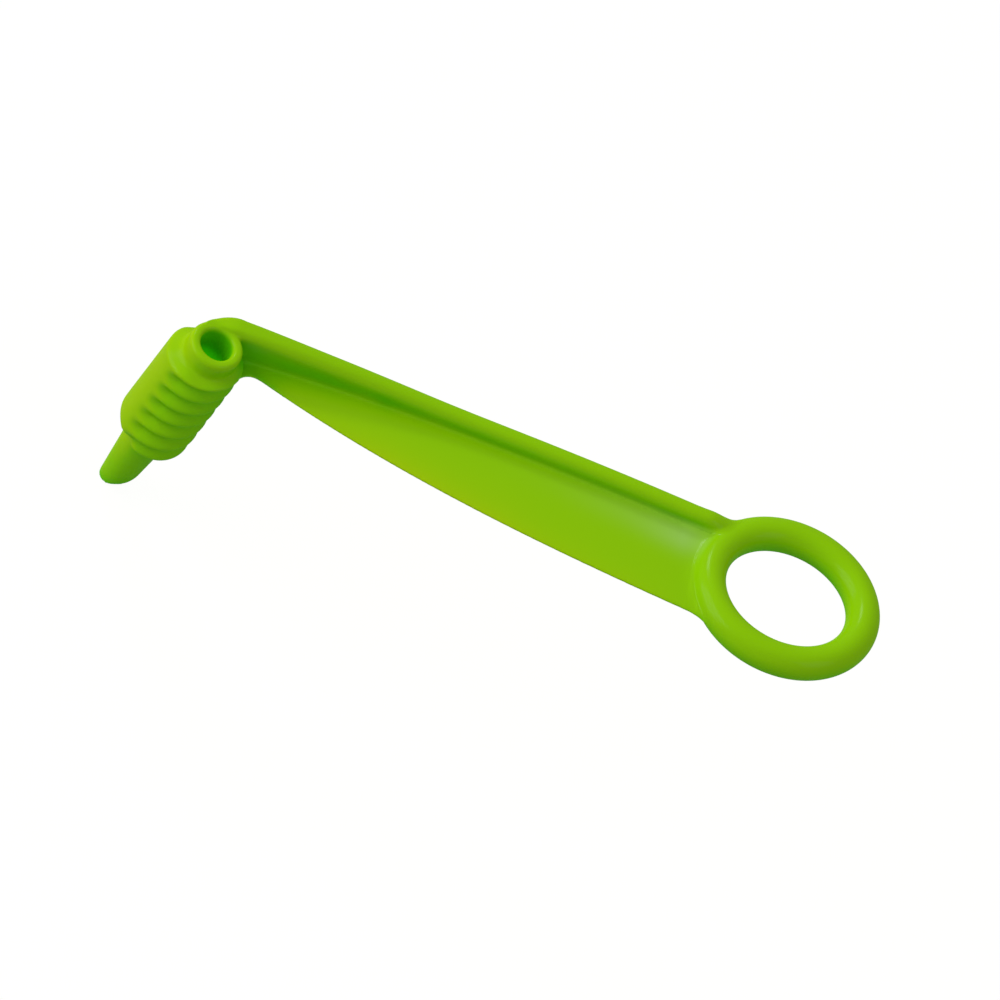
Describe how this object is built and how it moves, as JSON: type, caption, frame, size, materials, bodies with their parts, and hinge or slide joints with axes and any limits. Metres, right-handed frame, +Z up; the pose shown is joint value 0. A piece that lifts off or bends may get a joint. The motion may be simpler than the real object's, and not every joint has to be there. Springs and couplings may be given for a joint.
{
  "type": "hand spiral vegetable cutter",
  "caption": "Rigid plastic hand spiral cutter: a threaded hub with a tapered pilot pin, and an arm with a thin cutting wing, a stiffening rib and a finger ring.",
  "frame": {"origin": "point where the hub's axis meets the middle of the pilot pin's slanted tip face", "axes": "+Z up the hub's axis from the tip to the bore's mouth, +X out along the arm to the finger ring, and -Y the way the cutting wing's edge faces"},
  "size_m": [0.1, 0.0258, 0.0406],
  "materials": {
    "green_plastic": "smooth moulded plastic with a soft gloss"
  },
  "bodies": {
    "root": {"hub_collar": "green_plastic", "feed_screw": "green_plastic", "pilot_pin": "green_plastic", "arm_rib": "green_plastic", "cutting_wing": "green_plastic", "finger_ring": "green_plastic"}
  },
  "joints": []
}
